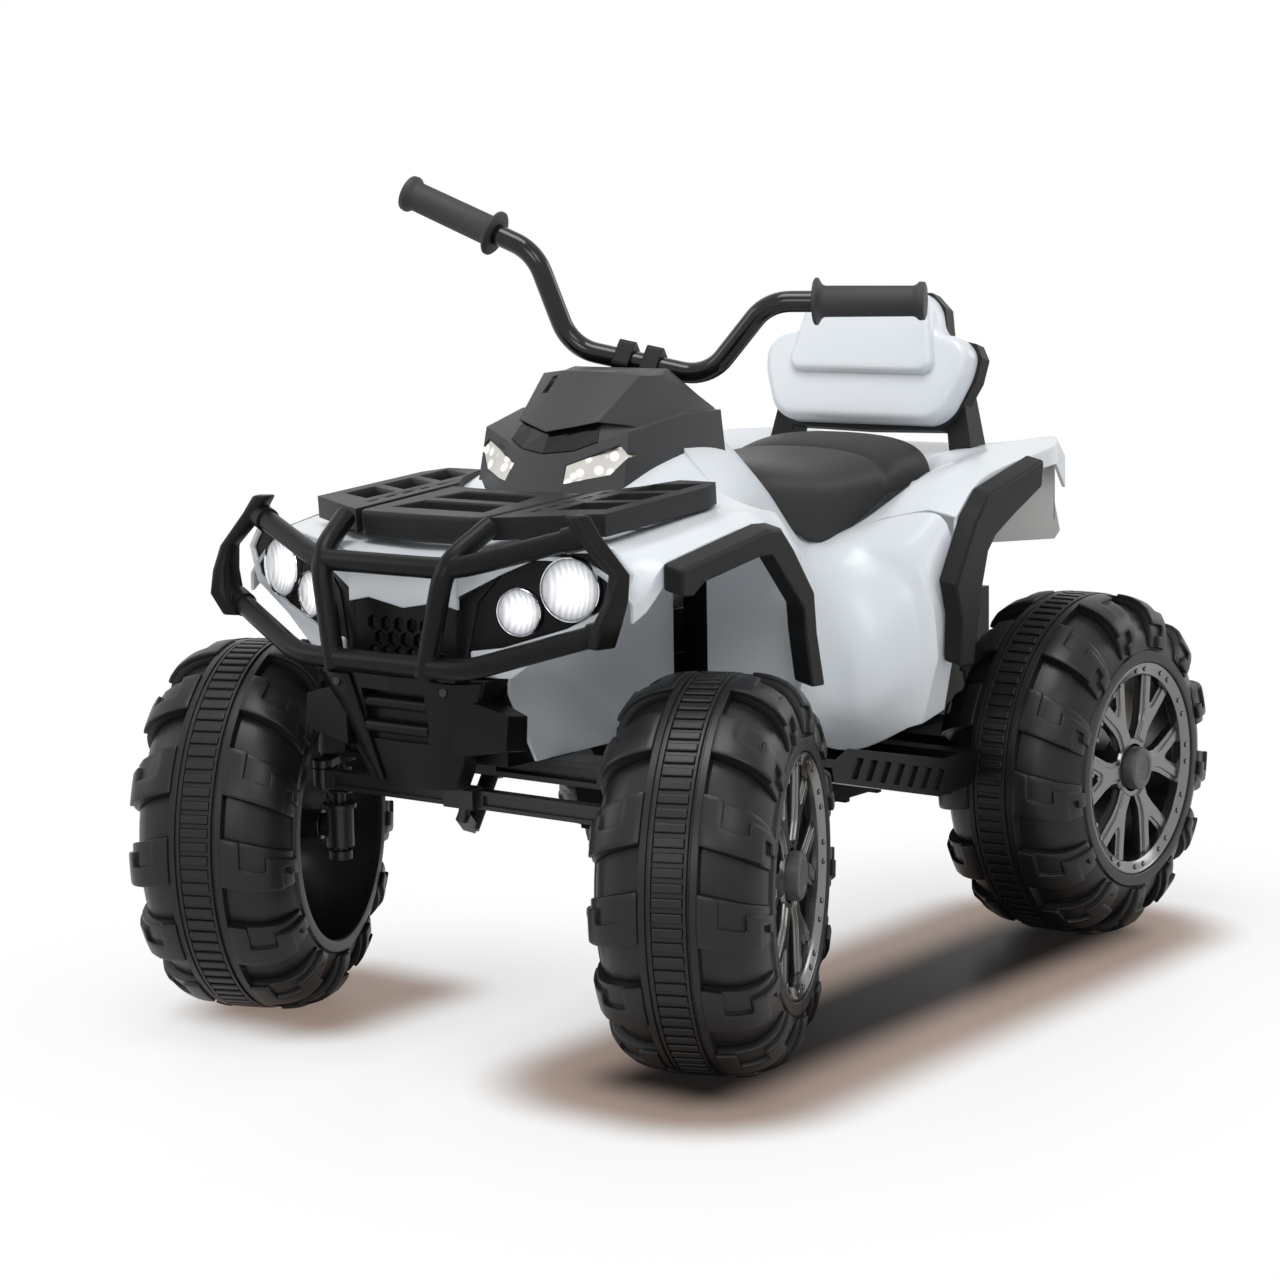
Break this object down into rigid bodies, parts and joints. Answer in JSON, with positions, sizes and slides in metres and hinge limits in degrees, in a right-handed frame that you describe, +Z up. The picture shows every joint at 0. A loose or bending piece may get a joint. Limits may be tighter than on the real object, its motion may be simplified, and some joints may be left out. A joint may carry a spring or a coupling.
{
  "type": "kids quad bike",
  "caption": "Battery ride-on quad bike for children: white moulded body, dark flares and rack, bull bar, steered sprung front wheels, backrest seat and raised handlebar.",
  "frame": {"origin": "on the ground under the middle of the overall length and width", "axes": "+X to the rider's left, front towards -Y, +Z up"},
  "size_m": [0.7366, 1.0299, 0.7804],
  "materials": {
    "tyre_black": "satin moulded plastic",
    "gunmetal": "gunmetal painted plastic",
    "dark_grey": "satin",
    "white_gloss": "glossy white plastic",
    "trim_grey": "fine grained satin plastic",
    "seat_grey": "moulded satin plastic",
    "black_plastic": "satin black plastic",
    "lamp_clear": "clear lens over lit lamps",
    "bare_steel": "zinc plated",
    "black_gloss_metal": "glossy black paint",
    "grip_rubber": "matt rubber"
  },
  "bodies": {
    "chassis": {"rear_axle_nuts": "bare_steel", "chassis_pan": "black_plastic", "front_axle_beam": "black_plastic", "column_bush": "black_plastic", "rear_axle": "bare_steel", "battery": "black_plastic", "control_box": "black_plastic", "left_drive_unit": "black_plastic", "right_drive_unit": "black_plastic", "left_footrest": "black_plastic", "right_footrest": "black_plastic", "front_left_flare": "trim_grey", "front_right_flare": "trim_grey", "rear_left_flare": "trim_grey", "rear_right_flare": "trim_grey", "front_body": "white_gloss", "centre_body": "white_gloss", "rear_body": "white_gloss", "lamp_pods": "black_plastic", "lamp_lenses": "lamp_clear", "grille": "black_plastic", "skid_plate": "black_plastic", "bull_bar": "black_plastic", "front_rack": "trim_grey", "cowl": "trim_grey", "cowl_lenses": "lamp_clear", "seat": "seat_grey", "backrest_panel": "white_gloss", "backrest_frame": "trim_grey", "body_screws": "bare_steel"},
    "steering": {"steering_column": "bare_steel", "handlebar": "black_gloss_metal", "handlebar_clamps": "dark_grey", "left_grip": "grip_rubber", "right_grip": "grip_rubber"},
    "left_kingpin": {"left_kingpin": "bare_steel", "left_spring": "bare_steel"},
    "right_kingpin": {"right_kingpin": "bare_steel", "right_spring": "bare_steel"},
    "left_knuckle": {"left_knuckle": "bare_steel", "left_axle_nut": "bare_steel"},
    "right_knuckle": {"right_knuckle": "bare_steel", "right_axle_nut": "bare_steel"},
    "tie_rod": {"tie_rod": "bare_steel"},
    "front_left_wheel": {"front_left_tyre": "tyre_black", "front_left_rim": "gunmetal", "front_left_hub_cap": "dark_grey"},
    "front_right_wheel": {"front_right_tyre": "tyre_black", "front_right_rim": "gunmetal", "front_right_hub_cap": "dark_grey"},
    "rear_left_wheel": {"rear_left_tyre": "tyre_black", "rear_left_rim": "gunmetal", "rear_left_hub_cap": "dark_grey"},
    "rear_right_wheel": {"rear_right_tyre": "tyre_black", "rear_right_rim": "gunmetal", "rear_right_hub_cap": "dark_grey"},
    "throttle_pedal": {"throttle_pedal": "black_plastic"},
    "power_button": {"power_button": "black_plastic"},
    "direction_rocker": {"direction_rocker": "black_plastic"},
    "speed_rocker": {"speed_rocker": "black_plastic"}
  },
  "joints": [
    {"name": "steering", "type": "hinge", "parent": "chassis", "child": "steering", "pos_m": [0, -0.32545, 0.1944], "axis": [0, 0.5446, 0.8387], "range_deg": [-52, 8]},
    {"name": "left_steer", "type": "hinge", "parent": "chassis", "child": "left_kingpin", "pos_m": [0.174, -0.311, 0.175], "axis": [0, 0, 1], "range_deg": [-52, 8]},
    {"name": "left_suspension", "type": "slide", "parent": "left_kingpin", "child": "left_knuckle", "axis": [0, 0, 1], "range_m": [0, 0.012], "stiffness_N_per_m": 5000, "springref_m": -0.02, "deforming": ["left_spring"]},
    {"name": "front_left_spin", "type": "hinge", "parent": "left_knuckle", "child": "front_left_wheel", "pos_m": [0.24261, -0.28328, 0.175], "axis": [0.9272, 0.3746, 0], "continuous": true},
    {"name": "rear_left_spin", "type": "hinge", "parent": "chassis", "child": "rear_left_wheel", "pos_m": [0.251, 0.339, 0.175], "axis": [1, 0, 0], "continuous": true},
    {"name": "right_steer", "type": "hinge", "parent": "chassis", "child": "right_kingpin", "pos_m": [-0.174, -0.311, 0.175], "axis": [0, 0, 1], "range_deg": [-52, 8]},
    {"name": "right_suspension", "type": "slide", "parent": "right_kingpin", "child": "right_knuckle", "axis": [0, 0, 1], "range_m": [0, 0.012], "stiffness_N_per_m": 5000, "springref_m": -0.02, "deforming": ["right_spring"]},
    {"name": "front_right_spin", "type": "hinge", "parent": "right_knuckle", "child": "front_right_wheel", "pos_m": [-0.24261, -0.33872, 0.175], "axis": [0.9272, 0.3746, 0], "continuous": true},
    {"name": "rear_right_spin", "type": "hinge", "parent": "chassis", "child": "rear_right_wheel", "pos_m": [-0.251, 0.339, 0.175], "axis": [1, 0, 0], "continuous": true},
    {"name": "tie_rod_pivot", "type": "hinge", "parent": "left_kingpin", "child": "tie_rod", "pos_m": [0.18898, -0.34809, 0.237], "axis": [0, 0, 1], "range_deg": [-8, 52]},
    {"name": "throttle", "type": "hinge", "parent": "chassis", "child": "throttle_pedal", "pos_m": [-0.215, 0.022, 0.2125], "axis": [1, 0, 0], "range_deg": [0, 8], "stiffness_Nm_per_rad": 1.2, "springref_deg": -8.59},
    {"name": "power_press", "type": "slide", "parent": "chassis", "child": "power_button", "axis": [0, -0.7433, -0.669], "range_m": [0, 0.003], "stiffness_N_per_m": 600, "springref_m": -0.001},
    {"name": "direction_switch", "type": "hinge", "parent": "chassis", "child": "direction_rocker", "pos_m": [-0.034, -0.074, 0.577], "axis": [1, 0, 0], "range_deg": [-8, 8]},
    {"name": "speed_switch", "type": "hinge", "parent": "chassis", "child": "speed_rocker", "pos_m": [-0.056, -0.074, 0.577], "axis": [1, 0, 0], "range_deg": [-8, 8]}
  ],
  "couplings": [
    {"joint": "left_steer", "follows": "steering", "ratio": 1},
    {"joint": "right_steer", "follows": "steering", "ratio": 1},
    {"joint": "tie_rod_pivot", "follows": "steering", "ratio": -1}
  ]
}
